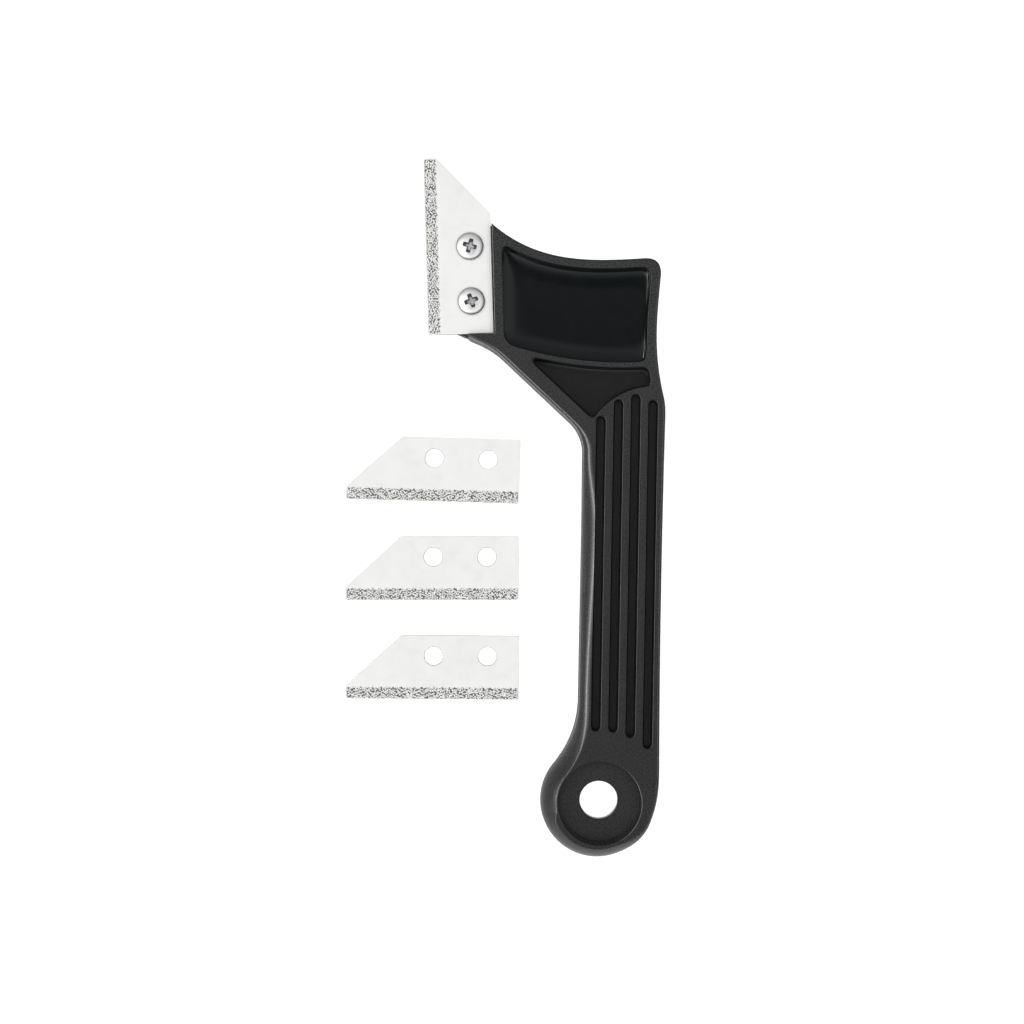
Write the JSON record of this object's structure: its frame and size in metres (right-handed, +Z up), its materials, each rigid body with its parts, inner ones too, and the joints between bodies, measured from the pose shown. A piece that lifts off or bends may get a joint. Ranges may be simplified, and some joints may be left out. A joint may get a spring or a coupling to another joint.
{
  "type": "grout remover",
  "caption": "Hand grout remover: cored plastic handle with grooved grip and hang hole, carbide-grit blade screwed into a stepped seat, and loose spare blades laid beside it.",
  "frame": {"origin": "middle of the set's box, on the surface that the handle's back and the spare blades lie on", "axes": "+Y from the hang hole towards the blade, +X towards the spine of the handle, +Z up from the surface, out of the face that carries the screw heads"},
  "size_m": [0.0912, 0.1978, 0.018],
  "materials": {
    "black_plastic": "black moulded plastic with a fine matt texture",
    "blade_steel": "bright blasted sheet steel",
    "carbide_grit": "sparkling brazed carbide grains",
    "plated_steel": "bright plated steel"
  },
  "bodies": {
    "handle": {"handle": "black_plastic"},
    "blade": {"blade_plate": "blade_steel", "blade_grit": "carbide_grit"},
    "upper_screw": {"upper_screw": "plated_steel"},
    "lower_screw": {"lower_screw": "plated_steel"},
    "upper_nut": {"upper_nut": "plated_steel"},
    "lower_nut": {"lower_nut": "plated_steel"},
    "spare_blade_1": {"spare_blade_1_plate": "blade_steel", "spare_blade_1_grit": "carbide_grit"},
    "spare_blade_2": {"spare_blade_2_plate": "blade_steel", "spare_blade_2_grit": "carbide_grit"},
    "spare_blade_3": {"spare_blade_3_plate": "blade_steel", "spare_blade_3_grit": "carbide_grit"}
  },
  "joints": [
    {"name": "blade_lift", "type": "slide", "parent": "handle", "child": "blade", "axis": [0, 0, 1], "range_m": [0, 0.025]},
    {"name": "upper_screw_turn", "type": "hinge", "parent": "blade", "child": "upper_screw", "pos_m": [-0.00948, 0.07389, 0.0124], "axis": [0, 0, 1], "range_deg": [0, 1800]},
    {"name": "lower_screw_turn", "type": "hinge", "parent": "blade", "child": "lower_screw", "pos_m": [-0.00904, 0.0584, 0.0124], "axis": [0, 0, 1], "range_deg": [0, 1800]},
    {"name": "upper_nut_travel", "type": "slide", "parent": "handle", "child": "upper_nut", "axis": [0, 0, -1], "range_m": [0, 0.0035]},
    {"name": "lower_nut_travel", "type": "slide", "parent": "handle", "child": "lower_nut", "axis": [0, 0, -1], "range_m": [0, 0.0035]},
    {"name": "spare_blade_1_lift", "type": "slide", "parent": "handle", "child": "spare_blade_1", "axis": [0, 0, 1], "range_m": [0, 0.03]},
    {"name": "spare_blade_2_lift", "type": "slide", "parent": "handle", "child": "spare_blade_2", "axis": [0, 0, 1], "range_m": [0, 0.03]},
    {"name": "spare_blade_3_lift", "type": "slide", "parent": "handle", "child": "spare_blade_3", "axis": [0, 0, 1], "range_m": [0, 0.03]}
  ],
  "couplings": [
    {"joint": "upper_screw_turn", "follows": "upper_nut_travel", "rad_per_m": 8976},
    {"joint": "lower_screw_turn", "follows": "lower_nut_travel", "rad_per_m": 8976}
  ]
}
